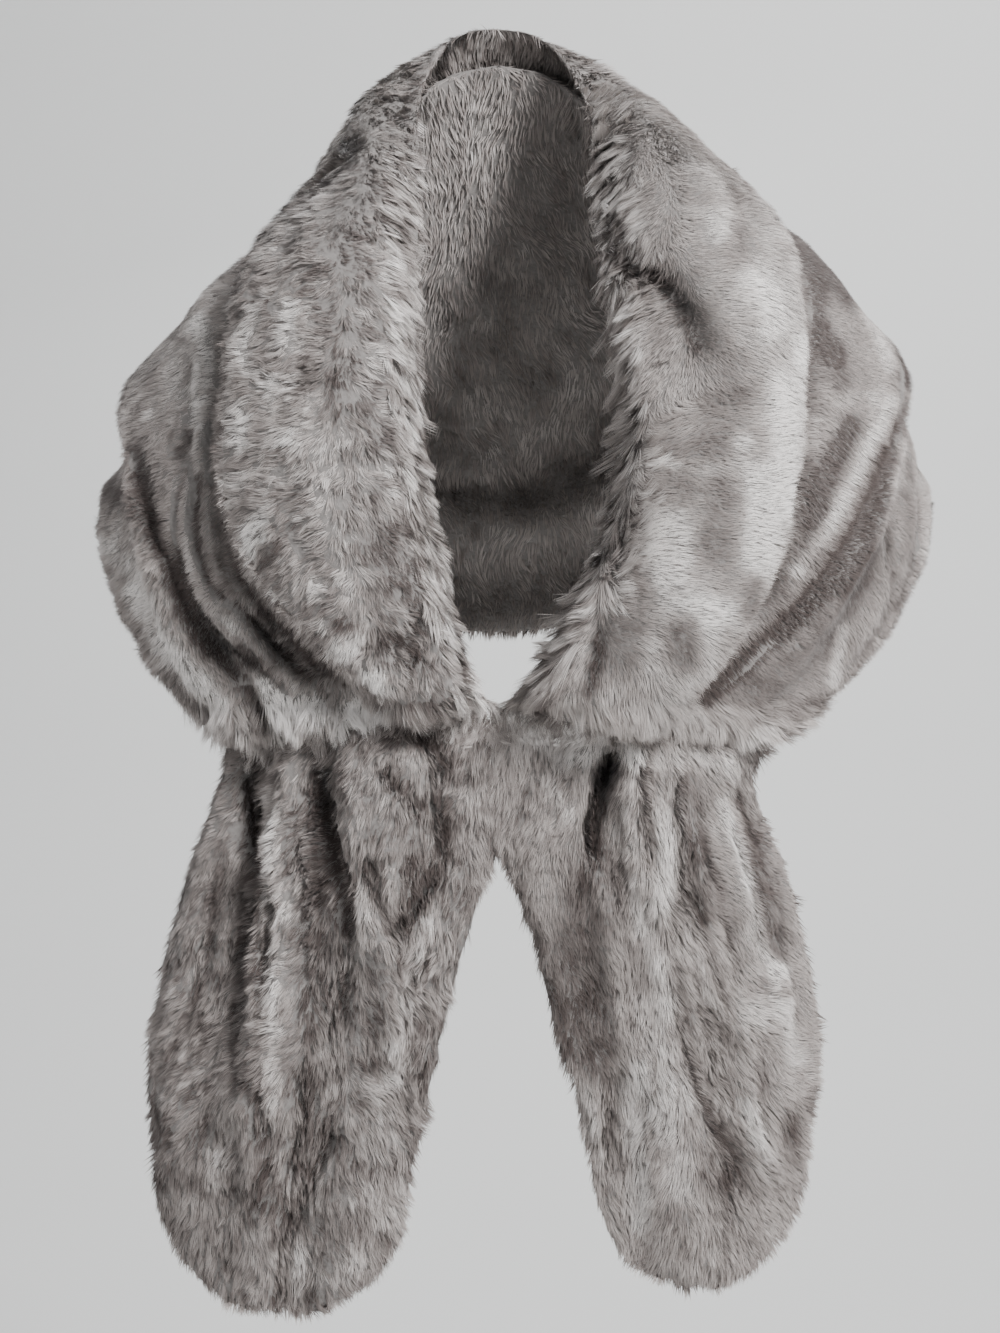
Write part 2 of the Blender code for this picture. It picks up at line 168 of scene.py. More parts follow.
# Creases: the way each runs, its width and depth in mm, and how much painted shade its pile gets (painted
# light where positive, as on ridges).
# A negative depth is a ridge.
creases = {
    "capeCloth": [
        (((-168, -18), (-173, -56), (-179, -92), (-184, -124), (-182, -156), (-175, -190), (-163, -220)),
          5, 5, -0.05),
        (((-163, -220), (-146, -242), (-126, -260), (-104, -275)), 5, 6, -0.1),
        (((-236, -111), (-232, -137), (-227, -160), (-221, -179), (-213, -198), (-206, -219),
          (-197, -237), (-186, -252), (-172, -265), (-159, -279)), 8, 13, -0.26),
        (((-202, -139), (-206, -162), (-207, -182), (-201, -204), (-193, -227), (-184, -242),
          (-164, -257), (-144, -271), (-129, -282)), 3.5, 7, -0.2),
        (((-193, -139), (-193, -156), (-195, -174), (-192, -189), (-185, -209), (-172, -220),
          (-157, -233), (-142, -250), (-128, -265), (-113, -278)), 3.5, 5, -0.18),
        (((-173, -182), (-165, -203), (-157, -218), (-144, -232), (-129, -247), (-115, -260),
          (-97, -275)), 4, 6, -0.2),
        (((-186, -89), (-196, -109), (-204, -124), (-210, -137)), 6, 4, -0.05),
        (((-160, -279), (-156, -295), (-151, -315)), 6, 10, -0.25),
        (((-110, -280), (-109, -295), (-112, -311)), 5, 6, -0.15),
        (((257, -47), (263, -72), (265, -97), (257, -125), (245, -153), (227, -186), (206, -215),
          (178, -245), (141, -280)), 8, 9, -0.3),
        (((199, -14), (202, -47), (202, -82), (194, -153), (176, -215), (153, -248)), 7, 7, -0.2),
        (((265, -118), (272, -156), (270, -195), (261, -221), (242, -247), (224, -265)), 4, 4, -0.1),
        (((252, -144), (258, -195), (257, -221)), 5, 4, -0.06),
        (((161, -321), (190, -305), (223, -279)), 5, 5, -0.1),
    ],
    "collarCloth": [
        (((78, 0), (92, -5), (107, -14), (119, -27), (127, -44)), 6, 7, -0.1),
        (((126, -34), (132, -51), (140, -69)), 8, 4, -0.03),
        (((132, -3), (155, -27), (170, -56), (176, -82)), 14, -4, 0),
        (((112, 76), (123, 54), (130, 28), (134, 5)), 9, 4, -0.05),
        (((155, 50), (158, 28), (161, 2)), 8, 4, -0.05),
        (((81, -160), (77, -195), (69, -224), (64, -253), (62, -286)), 3, 3, -0.16),
        (((-153, -1), (-155, -18), (-151, -27)), 4, 3, -0.12),
        (((-137, -26), (-140, -43), (-146, -58)), 5, 4, -0.1),
        (((-118, -50), (-122, -69), (-128, -89)), 8, 5, -0.08),
        (((-59, 96), (-63, 37), (-62, -27), (-64, -92), (-62, -144), (-54, -195)), 3, 1.5, -0.06),
        (((-75, -244), (-67, -248), (-59, -253)), 5, 5, -0.1),
        (((84, 89), (86, 37), (82, 5)), 4, 2, -0.08), (((79, -40), (88, -79), (93, -118)), 4, 2, -0.08),
    ],
    "tailRightCloth": [
        (((-156, -315), (-157, -344), (-154, -370), (-148, -395), (-146, -434), (-149, -463),
          (-152, -486)), 5, 14, -0.2),
        (((-113, -335), (-108, -358), (-104, -384), (-99, -405), (-96, -425), (-96, -447)), 5, 15, -0.2),
        (((-97, -450), (-100, -479), (-102, -505)), 5, 4, -0.06),
        (((-89, -383), (-81, -403), (-72, -420), (-65, -444)), 5, 5, -0.1),
        (((-38, -321), (-36, -363), (-29, -390), (-38, -401), (-49, -418), (-62, -434), (-68, -445)),
          5, 5, -0.12),
        (((-76, -324), (-71, -334), (-65, -343), (-51, -353), (-40, -352)), 4, 5, -0.16),
        (((-58, -300), (-45, -308), (-35, -324), (-36, -344)), 6, 6, -0.22),
        (((-106, -549), (-109, -573), (-117, -591), (-124, -609), (-132, -627), (-137, -640),
          (-138, -657), (-135, -680)), 4, 6, -0.12),
        (((-120, -509), (-122, -545), (-126, -573), (-129, -598)), 4, 4, -0.15),
        (((-179, -384), (-182, -418), (-187, -457), (-193, -479), (-206, -509), (-215, -523)),
          4, 4, -0.12),
        (((-168, -484), (-168, -509), (-165, -529), (-169, -545)), 4, 4, -0.14),
        (((-155, -529), (-151, -556), (-148, -584), (-151, -611)), 6, 5, -0.12),
        (((-184, -551), (-191, -570)), 3.5, 3, -0.12),
        (((-29, -418), (-46, -451), (-51, -479), (-54, -509), (-56, -542), (-58, -578)), 4, 2.5, -0.07),
        (((-144, -350), (-147, -402), (-144, -454), (-146, -512), (-142, -563)), 10, -4, 0.05),
    ],
    "tailLeftCloth": [
        (((77, -313), (73, -328), (68, -344), (64, -362), (64, -379), (66, -394)), 5, 13, -0.14),
        (((100, -310), (99, -328), (100, -350), (97, -369), (102, -388), (103, -407)), 4, 7, -0.2),
        (((122, -311), (122, -348), (123, -369), (122, -394), (123, -410), (132, -429)), 5, 6, -0.15),
        (((153, -344), (159, -372), (165, -394), (171, -416), (174, -437), (179, -456)), 6, 7, -0.08),
        (((111, -432), (112, -448), (115, -467), (121, -486), (126, -505), (131, -525), (137, -544),
          (143, -563), (150, -580), (159, -596)), 5, 8, -0.18),
        (((123, -413), (132, -432), (138, -454), (145, -470), (153, -489)), 3.5, 4, -0.14),
        (((132, -486), (143, -497), (153, -508)), 3.5, 3, -0.12),
        (((77, -516), (75, -540), (72, -565), (75, -583)), 4, 6, -0.1),
        (((87, -324), (88, -376), (93, -415)), 6, -3, 0.05),
        (((112, -324), (112, -363), (114, -402)), 6, -3, 0.05),
        (((150, -519), (164, -540), (166, -567), (180, -592)), 6, -4, 0.06),
        (((143, -350), (155, -395), (166, -434)), 8, -3, 0.02),
        (((16, -402), (29, -460), (42, -512), (61, -563), (71, -609)), 4, 3, -0.08),
    ],
}

# Creases on the back, where a row runs through (x, z) in mm, straight behind.
backCreases = {
    "capeCloth": [
        (((-150, -60), (-90, -104), (-30, -122), (20, -120)), 12, 5, -0.06),
        (((-20, -168), (50, -160), (110, -130), (160, -84)), 14, 6, -0.06),
        (((-175, -150), (-140, -186), (-90, -206)), 10, 4, -0.05),
        (((70, -214), (130, -200), (180, -170)), 10, 4, -0.05),
    ],
    "collarCloth": [
        (((-80, 66), (-40, 44), (-5, 40)), 9, 4, -0.05),
        (((30, 120), (60, 92), (82, 60)), 9, 4, -0.05),
        (((-50, 132), (-62, 100), (-66, 70)), 8, 3, -0.05),
    ],
    "tailRightCloth": [
        (((-60, -350), (-66, -420), (-60, -500)), 8, 7, -0.1),
        (((-120, -350), (-126, -400), (-136, -470)), 7, 5, -0.1),
        (((-160, -420), (-150, -500), (-130, -580)), 10, 4, -0.05),
    ],
    "tailLeftCloth": [
        (((58, -350), (66, -420), (76, -490)), 8, 7, -0.1),
        (((112, -350), (118, -410), (132, -480)), 7, 5, -0.1),
        (((150, -430), (140, -510), (120, -570)), 10, 4, -0.05),
    ],
}


def pressCreases(mesh, cloth, rows, tree, fromBack):
    points = places(mesh)
    moves = np.zeros_like(points)
    paintedShading = np.zeros(len(points))
    toward = outward(mesh)[:, 1] * (1 if fromBack else -1)
    for way, width, depth, shade in rows:
        way = np.array(way, float)
        steps = np.linspace(0, len(way) - 1, 10 * (len(way) - 1) + 1)
        line = np.stack([np.interp(steps, range(len(way)), way[:, k]) for k in (0, 1)], 1)
        cast = seenFromBehind if fromBack else seen
        found = [cast(tree, x, z)[:2] for x, z in line]
        kept = [(spot, up, t) for (spot, up), t in zip(found, steps / steps[-1]) if spot is not None]
        if not kept:
            print("a crease misses its cloth:", way[0])
            continue
        ups = np.array([up for spot, up, t in kept])
        padded = [np.pad(ups[:, k], 5, "edge") for k in range(3)]
        ups = unit(np.stack([np.convolve(column, np.ones(11), "valid") for column in padded], 1))
        fade = np.array([0.25 + 0.75 * ease(min(t, 1 - t) / creaseEnds) for spot, up, t in kept])
        line = np.array([spot for spot, up, t in kept])
        spots = nearestTree(line)
        room = (3 * width + 6) * mm
        inside = ((points > line.min(0) - room) & (points < line.max(0) + room)).all(1)
        for v in np.nonzero(inside)[0]:
            spot, k, away = spots.find(points[v])
            height = (points[v] - line[k]) @ ups[k]
            aside = math.sqrt(max(away**2 - height**2, 0))
            if height < -cloth["wall"] - 8 * mm or aside > room:  # another layer, or past its flanks
                continue
            front = toward[v] > -0.2
            near = math.exp(-((aside / (width * mm)) ** 2)) * fade[k] * depth * mm
            moves[v] -= ups[k] * near * (1 if front else cloth["through"])
            # the crease's front gets painted shade, strongest on its line
            if front:
                paintedShading[v] += math.exp(-((aside / (width * mm * 1.3)) ** 2)) * fade[k] * shade
    far = np.linalg.norm(moves, axis=1, keepdims=True)
    moves *= np.minimum(1, deepestPress / np.maximum(far, 1e-6))
    putPlaces(mesh, points + moves)
    return paintedShading


def makeCloth(cloth):
    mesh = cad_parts[cloth["node"]].data.copy()
    mesh.materials.clear()
    piece = addPiece(cloth["name"], mesh)
    onlySelect(piece)
    bpy.ops.object.mode_set(mode="EDIT")
    bpy.ops.mesh.select_all(action="SELECT")
    bpy.ops.mesh.remove_doubles(threshold=0.02 * mm)
    bpy.ops.mesh.tris_convert_to_quads(face_threshold=math.radians(70), shape_threshold=math.radians(70))
    bpy.ops.object.mode_set(mode="OBJECT")
    # the backing lies under the pile, but at the cinch it runs on to the piece beside it
    points = places(mesh)
    ups = outward(mesh)
    moves = -ups * sink
    for beside in sheets:
        if beside is cloth or {cloth["node"], beside["node"]} == {"cape", "collar"}:
            continue
        tree = surfaceTree(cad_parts[beside["node"]].data)
        for v, point in enumerate(points):
            spot, up, k, away = tree.find_nearest(Vector(point), cinchReach)
            if spot is not None:
                near = float(ease(1 - away / cinchReach))
                way = unit(np.array(spot) - point)
                sunk = sink * (1 - 0.5 * near) * (1 - abs(ups[v] @ way))
                moves[v] = way * near * cinchStep - ups[v] * sunk
    putPlaces(mesh, points + moves)
    smooth = piece.modifiers.new("finer", "SUBSURF")
    smooth.levels = smooth.render_levels = detail
    bpy.ops.object.modifier_apply(modifier=smooth.name)
    bpy.ops.object.shade_smooth()
    return piece


def ripple(mesh, cloth, seed):
    points = places(mesh)
    right = ease((0.02 - points[:, 0]) / 0.04)
    rise = np.zeros(len(points))
    for (height, size), share in zip(cloth["ripple"], (right, 1 - right)):
        swell = softNoise(points, size, seed) + 0.5 * softNoise(points, size * 0.45, seed + 3)
        rise += share * height * swell * 1.6
    putPlaces(mesh, points + outward(mesh) * rise[:, None])


# how far each place lies below its surroundings
def hollowness(mesh, rounds):
    ends = np.empty(len(mesh.edges) * 2, int)
    mesh.edges.foreach_get("vertices", ends)
    a, b = ends.reshape(-1, 2).T
    points = places(mesh)
    count = len(points)
    near = np.bincount(a, minlength=count) + np.bincount(b, minlength=count)
    soft = points.copy()
    for turn in range(rounds):
        for k in range(3):
            total = np.bincount(a, soft[b, k], count) + np.bincount(b, soft[a, k], count)
            soft[:, k] = (soft[:, k] + total / near) / 2
    return ((soft - points) * outward(mesh)).sum(1)


cloths = {}
unpressed = {}
paintedShading = {}
squeezed = {}
for number, cloth in enumerate(sheets):
    piece = makeCloth(cloth)
    unpressed[piece.name] = (places(piece.data), outward(piece.data))
    tree = surfaceTree(piece.data)
    ripple(piece.data, cloth, number * 7 + 1)
    paintedShading[piece.name] = pressCreases(piece.data, cloth, creases[piece.name], tree, False)
    paintedShading[piece.name] += pressCreases(piece.data, cloth, backCreases[piece.name], tree, True)
    # painted shade in hollows and painted light on rises, by how far each place lies below its surroundings
    depth = np.clip(hollowness(piece.data, 30) / (2.5 * mm), -1, 1)
    paintedShading[piece.name] -= depth * 0.1
    squeezed[piece.name] = np.clip(depth, 0, 1)
    cloths[piece.name] = piece
    print(piece.name, "made,", len(piece.data.polygons), "faces")

# Guide hairs: where each grows, and the way its tip points, in degrees from straight down,
# + towards the left arm.
combs = {
    "capeCloth": [
        (-210, -111, -60), (-191, -189, -50), (-249, -169, -80), (-230, -234, -60), (-197, -266, 30),
        (-175, -295, 10), (-142, -292, 20), (-100, -299, 0), (-165, -27, -80), (-126, -263, -30),
        (216, -27, 80), (236, -111, 60), (210, -169, 60), (242, -208, 50), (265, -144, 80),
        (236, -247, 60), (165, -292, 50), (145, -311, 30), (197, -286, 60), (190, 5, 70),
    ],
    "collarCloth": [
        (-52, 89, -25), (-50, 37, -25), (-53, -92, -20), (-49, -156, -15), (-36, -221, 5), (-78, 83, 30),
        (-78, 37, 50), (-80, -1, 55), (-81, -47, 55), (-80, -105, 50), (-80, -156, 45), (-68, -208, 40),
        (-107, 37, -50), (-126, -1, -70), (-113, -47, -55), (-152, -27, -85), (-162, -92, -85),
        (-126, -111, -65), (-165, -156, -75), (-126, -169, -60), (-152, -195, -60), (-107, -221, -45),
        (-62, -279, 10), (-36, -273, 30), (-23, -247, 20), (-100, -124, -30), (71, 83, 35), (74, 37, 30),
        (100, 83, -10), (101, 37, -30), (132, 37, 70), (161, 18, 80), (73, -27, 35), (105, -40, -45),
        (103, -79, -25), (84, -105, 15), (116, -111, 95), (145, -40, 70), (171, -27, 80), (197, -53, 75),
        (81, -156, 30), (93, -169, 90), (51, -234, -80), (48, -260, -45), (68, -279, 10), (119, -182, 90),
        (158, -169, 90), (184, -124, 85), (145, -227, 80), (119, -279, 45), (93, -286, 10),
        (87, -234, 70),
    ],
    "tailRightCloth": [
        (-181, -415, -15), (-171, -454, -10), (-191, -492, -35), (-217, -518, -40), (-149, -383, -80),
        (-131, -383, -55), (-142, -447, -80), (-146, -512, -70), (-126, -479, -20), (-107, -479, 20),
        (-87, -350, -20), (-62, -370, 0), (-42, -402, -20), (-49, -337, -15), (-16, -324, -10),
        (-22, -370, -15), (-36, -447, -30), (-41, -512, -25), (-68, -479, 45), (-75, -531, 45),
        (-81, -563, 40), (-94, -609, 20), (-75, -622, 10), (-100, -667, 25), (-133, -660, 20),
        (-171, -667, -10), (-159, -576, 0), (-120, -544, -20),
    ],
    "tailLeftCloth": [
        (3, -337, -5), (8, -383, 0), (42, -447, 25), (68, -454, 18), (61, -402, 8), (42, -402, 15),
        (61, -499, 22), (42, -350, -30), (93, -383, 0), (113, -383, 0), (106, -479, 10), (145, -402, 60),
        (177, -402, 70), (184, -479, 60), (207, -512, 80), (158, -531, 30), (171, -576, 40),
        (132, -609, 10), (100, -576, -20), (93, -647, -20), (132, -660, 0), (184, -615, 40),
        (68, -563, 10), (74, -609, 10),
    ],
}

# Guide hairs of the back, in the same way, from behind.
backCombs = {
    "capeCloth": [
        (-180, -60, -60), (-120, -150, -25), (0, -120, 5), (0, -210, 0), (120, -150, 25), (180, -60, 60),
    ],
    "collarCloth": [(-90, 60, -40), (-60, 110, -20), (0, 120, 0), (0, 60, 5), (60, 110, 20), (90, 60, 40)],
    "tailRightCloth": [(-160, -420, -20), (-90, -420, 0), (-90, -560, 5)],
    "tailLeftCloth": [(150, -420, 20), (90, -420, 0), (100, -560, -5)],
}

# Painted light and shade on the pile, with patches of lighter or darker nap: shadows under edges and in
# folds, lit edges and rims, and nap patches. The way of each stroke, half its width in mm, its tone.
napAndPaintedShading = {
    "capeCloth": [
        (((-197, -16), (-181, -9), (-165, -3)), 6, -0.12),
        (((-202, -142), (-206, -163), (-206, -184), (-200, -207), (-192, -229), (-182, -244),
          (-162, -258), (-142, -273), (-128, -283)), 2, -0.09),
        (((-193, -142), (-193, -163), (-191, -189), (-184, -211), (-171, -222), (-157, -234),
          (-142, -251), (-127, -266), (-112, -279)), 2, -0.09),
        (((-172, -185), (-164, -206), (-155, -220), (-143, -233), (-128, -248), (-113, -261),
          (-96, -275)), 2, -0.09),
        (((-197, -144), (-199, -166), (-199, -187), (-195, -208)), 2, 0.05),
        (((-186, -144), (-186, -166), (-184, -189), (-177, -208)), 2, 0.05),
        (((-175, -233), (-160, -247), (-144, -263), (-128, -276)), 2, 0.06),
        (((-164, -221), (-151, -235), (-134, -252), (-120, -265)), 2, 0.05),
        (((-223, -56), (-210, -50), (-194, -56), (-188, -72), (-193, -89), (-205, -102), (-209, -118)),
          2, -0.05),
        (((-215, -67), (-204, -61), (-196, -67), (-199, -79), (-209, -92)), 2, -0.04),
        (((-234, -124), (-228, -150), (-222, -169)), 5, -0.1), (((-248, -151), (-230, -164)), 8, -0.09),
        (((-254, -185), (-233, -202)), 8, 0.07),
        (((-222, -169), (-215, -189), (-207, -209), (-199, -229), (-188, -246), (-173, -261),
          (-159, -277)), 6, -0.14),
        (((-233, -215), (-220, -240), (-201, -265), (-181, -289)), 8, 0.13),
        (((-151, -273), (-139, -293)), 10, 0.15), (((-165, -247), (-147, -265)), 6, -0.1),
        (((-217, -47), (-207, -66), (-205, -92)), 8, 0.06),
        (((-191, -40), (-187, -72), (-192, -105)), 7, 0.1),
        (((-193, -144), (-188, -182), (-171, -215)), 4, -0.05),
        (((181, 23), (197, 5), (213, -9), (229, -22)), 13, -0.1),
        (((206, -21), (210, -47), (218, -61)), 8, -0.09),
        (((208, -50), (218, -65), (221, -79)), 8, -0.08),
        (((229, -109), (221, -124), (214, -138)), 8, -0.12),
        (((211, -145), (207, -166), (201, -190)), 8, -0.12),
        (((254, -129), (247, -152), (237, -175), (225, -197), (208, -217), (191, -233), (172, -251),
          (154, -267), (135, -282)), 7, -0.13),
        (((245, -160), (239, -185), (229, -211)), 9, -0.07),
        (((252, -27), (261, -53), (267, -79)), 6, -0.08), (((265, -156), (270, -195)), 5, -0.04),
        (((237, -195), (218, -234), (197, -260), (171, -279)), 13, -0.06),
        (((237, -27), (249, -50), (254, -69)), 6, 0.09), (((224, -93), (239, -95), (254, -85)), 8, 0.05),
        (((257, -92), (241, -121), (228, -150), (213, -176), (194, -202)), 5, 0.12),
        (((205, -105), (203, -124)), 5, 0.07), (((224, -240), (218, -273)), 5, 0.1),
        (((261, -121), (258, -144)), 5, 0.08), (((276, -144), (281, -169), (278, -195)), 6, 0.06),
        (((174, -305), (155, -317)), 6, 0.08), (((236, -95), (226, -111), (218, -127)), 6, -0.05),
        (((-129, -286), (-110, -295), (-97, -308)), 9, 0.13), (((-94, -289), (-71, -305)), 8, 0.12),
        (((13, -299), (32, -300), (53, -302)), 5, 0.14), (((210, -286), (190, -295)), 5, -0.06),
    ],
    "collarCloth": [
        (((81, -5), (100, -10), (114, -22), (124, -41), (131, -56)), 6, -0.085),
        (((140, -56), (157, -82), (143, -118)), 16, -0.06), (((100, -40), (106, -79)), 6, -0.02),
        (((-115, -27), (-102, -47), (-94, -66)), 9, -0.08),
        (((-159, -131), (-126, -134), (-107, -127)), 13, 0.045), (((-155, -79), (-133, -92)), 9, 0.06),
        (((-151, -221), (-149, -273), (-133, -286)), 8, 0.05), (((-58, -221), (-54, -247)), 6, 0.06),
        (((-112, -233), (-107, -250)), 6, 0.06), (((-71, -253), (-67, -271)), 6, -0.05),
        (((166, -144), (166, -195)), 6, 0.035), (((103, -215), (100, -260)), 8, 0.035),
        (((135, -238), (155, -232)), 8, 0.035), (((190, -195), (174, -221)), 5, 0.05),
        (((-65, -293), (-36, -296)), 9, -0.09), (((93, 83), (103, 50), (110, 21), (123, -11)), 10, -0.03),
        (((-151, -27), (-157, -60), (-161, -92), (-165, -118)), 6, 0.07),
        (((-160, -182), (-152, -208), (-140, -234), (-128, -253)), 5, 0.08),
        (((106, -195), (132, -221), (119, -260)), 18, 0.025), (((68, -247), (60, -279)), 5, -0.1),
        (((42, -278), (30, -292)), 5, -0.08), (((93, -18), (101, -27)), 4, -0.04),
        (((66, -171), (87, -164)), 2, -0.09), (((61, -185), (82, -178)), 2, -0.09),
        (((56, -199), (77, -193)), 2, -0.09), (((51, -213), (71, -206)), 2, -0.09),
        (((46, -227), (66, -220)), 2, -0.09), (((40, -242), (61, -234)), 2, -0.09),
        (((35, -256), (55, -248)), 2, -0.09), (((29, -270), (50, -262)), 2, -0.09),
        (((141, -188), (147, -150)), 12, -0.1), (((112, -147), (120, -147)), 12, -0.05),
        (((120, -256), (122, -238)), 12, -0.13), (((164, -229), (168, -213)), 8, -0.08),
        (((155, 0), (155, 16)), 8, -0.05), (((109, -122), (143, -122)), 10, -0.06),
        (((81, -256), (81, -250)), 16, -0.06), (((97, -241), (97, -201)), 9, -0.05),
        (((111, -202), (113, -176)), 13, 0.15), (((187, -100), (187, -84)), 12, 0.14),
        (((187, -160), (187, -114)), 9, 0.14), (((172, -196), (176, -142)), 12, 0.11),
        (((157, -118), (159, -118)), 6, 0.1), (((108, -131), (116, -135)), 3, 0.12),
        (((179, -40), (169, -14)), 12, 0.1), (((142, 19), (142, 23)), 10, 0.09),
        (((119, -227), (145, -227)), 10, 0.1), (((199, -65), (199, -55)), 8, 0.12),
        (((-98, -3), (-96, -3)), 16, -0.09), (((-118, -68), (-118, -52)), 6, -0.06),
        (((-106, -89), (-102, -75)), 12, -0.07), (((-70, -247), (-64, -247)), 5, -0.14),
        (((-56, -221), (-56, -219)), 6, -0.14), (((-151, -195), (-151, -179)), 5, -0.07),
        (((-82, 43), (-92, 71)), 8, -0.1), (((-71, -208), (-71, -182)), 13, -0.05),
        (((-49, -247), (-49, -221)), 13, -0.05), (((-138, -54), (-134, -32)), 9, 0.14),
        (((-163, -66), (-163, -46)), 6, 0.12), (((-168, -119), (-168, -103)), 8, 0.1),
        (((-155, -181), (-155, -171)), 9, 0.14), (((-115, -215), (-115, -215)), 8, 0.12),
        (((-107, -258), (-93, -248)), 8, 0.12), (((-78, -273), (-78, -273)), 10, 0.09),
        (((-132, -118), (-120, -118)), 13, 0.06), (((-97, -176), (-97, -176)), 8, 0.1),
        (((-74, -137), (-68, -137)), 5, 0.1),
    ],
    "tailRightCloth": [
        (((-191, -341), (-205, -383), (-218, -434), (-226, -479), (-231, -531)), 5, 0.2),
        (((-146, -344), (-147, -395), (-147, -447), (-144, -505), (-143, -544)), 5, 0.16),
        (((-159, -318), (-160, -347), (-156, -376), (-153, -402), (-152, -434), (-154, -479)), 3, -0.25),
        (((-112, -341), (-108, -363), (-104, -386), (-100, -408), (-97, -434)), 4, -0.25),
        (((-168, -389), (-170, -434), (-173, -479)), 5, 0.08),
        (((-86, -415), (-84, -447), (-90, -479)), 5, 0.08),
        (((-29, -395), (-47, -434), (-57, -479), (-59, -531)), 6, 0.12),
        (((-112, -589), (-122, -628), (-128, -664)), 6, 0.12), (((-84, -572), (-65, -572)), 10, 0.16),
        (((-71, -499), (-68, -528)), 6, 0.12), (((-146, -547), (-146, -580)), 5, 0.12),
        (((-80, -602), (-80, -635)), 6, 0.1), (((-133, -649), (-107, -660), (-87, -649)), 13, 0.12),
        (((-177, -486), (-184, -512)), 6, 0.08), (((-126, -321), (-124, -344)), 6, 0.1),
        (((-173, -538), (-175, -602)), 5, 0.08), (((-139, -599), (-144, -635)), 5, -0.08),
        (((-123, -324), (-115, -370), (-107, -402)), 6, -0.12),
        (((-126, -434), (-122, -479), (-124, -531)), 6, -0.08), (((-217, -595), (-217, -557)), 10, -0.14),
        (((-149, -606), (-149, -572)), 8, -0.1), (((-78, -493), (-78, -491)), 13, -0.12),
        (((-84, -520), (-76, -520)), 9, -0.04), (((-118, -498), (-118, -410)), 8, -0.08),
        (((-173, -409), (-173, -381)), 12, -0.04), (((-50, -402), (-50, -392)), 18, -0.1),
        (((-63, -308), (-47, -308)), 12, -0.16), (((-33, -384), (-33, -342)), 5, -0.08),
        (((-181, -595), (-181, -577)), 8, 0.15), (((-195, -521), (-193, -515)), 16, 0.06),
        (((-136, -422), (-136, -414)), 9, 0.14), (((-142, -499), (-142, -435)), 6, 0.08),
        (((-200, -387), (-194, -353)), 9, 0.1), (((-212, -438), (-208, -418)), 9, 0.1),
        (((-71, -550), (-71, -538)), 13, 0.1), (((-48, -463), (-40, -431)), 9, 0.1),
        (((-67, -624), (-67, -600)), 9, 0.13), (((-16, -373), (-16, -353)), 9, 0.1),
        (((-144, -395), (-144, -357)), 6, 0.1), (((-84, -360), (-84, -340)), 13, 0.06),
        (((-104, -644), (-84, -644)), 10, 0.05),
    ],
    "tailLeftCloth": [
        (((71, -395), (64, -418), (53, -447), (57, -486), (68, -517)), 21, -0.13),
        (((16, -408), (26, -437), (35, -473), (46, -512)), 6, -0.07),
        (((74, -326), (69, -345), (64, -364), (64, -383)), 5, -0.22),
        (((126, -334), (129, -364), (134, -395), (136, -425)), 6, -0.11),
        (((22, -310), (51, -318), (87, -319)), 9, 0.1), (((42, -326), (68, -322), (93, -324)), 6, 0.1),
        (((13, -299), (32, -300), (53, -302)), 5, 0.16),
        (((93, -324), (132, -326), (161, -328)), 8, 0.06),
        (((79, -370), (86, -402), (93, -434)), 5, 0.09),
        (((132, -370), (143, -402), (153, -434), (159, -454)), 6, -0.05),
        (((142, -467), (158, -505)), 5, -0.05), (((179, -460), (184, -492), (190, -518)), 6, 0.05),
        (((145, -350), (157, -383), (168, -418), (173, -450)), 4, 0.1),
        (((155, -350), (166, -383), (176, -418), (183, -450)), 5, -0.12),
        (((168, -376), (179, -408), (185, -434)), 8, -0.05),
        (((93, -402), (101, -441), (108, -479), (110, -512)), 6, 0.06),
        (((93, -525), (91, -563), (93, -622)), 8, 0.12), (((79, -518), (81, -538)), 5, 0.08),
        (((93, -479), (101, -499)), 9, 0.06), (((110, -454), (114, -486)), 6, 0.08),
        (((179, -454), (187, -486), (196, -518)), 6, 0.09),
        (((146, -562), (155, -583), (170, -601)), 8, -0.07), (((139, -593), (145, -595)), 10, -0.14),
        (((128, -574), (140, -578)), 6, -0.08), (((169, -540), (169, -528)), 9, -0.05),
        (((192, -579), (192, -555)), 8, -0.11), (((205, -550), (205, -538)), 5, -0.09),
        (((111, -616), (117, -616)), 8, -0.04), (((185, -474), (187, -474)), 4, -0.1),
        (((89, -651), (97, -651)), 5, -0.03), (((182, -459), (184, -459)), 6, 0.12),
        (((159, -489), (171, -489)), 12, 0.1), (((112, -565), (112, -537)), 12, 0.09),
        (((121, -599), (121, -583)), 9, 0.09), (((49, -362), (35, -338)), 5, 0.06),
        (((68, -582), (54, -532)), 6, 0.07), (((110, -412), (110, -366)), 9, 0.1),
        (((93, -518), (93, -506)), 13, 0.06), (((164, -404), (152, -348)), 4, 0.12),
        (((169, -569), (161, -545)), 6, 0.12),
    ],
}

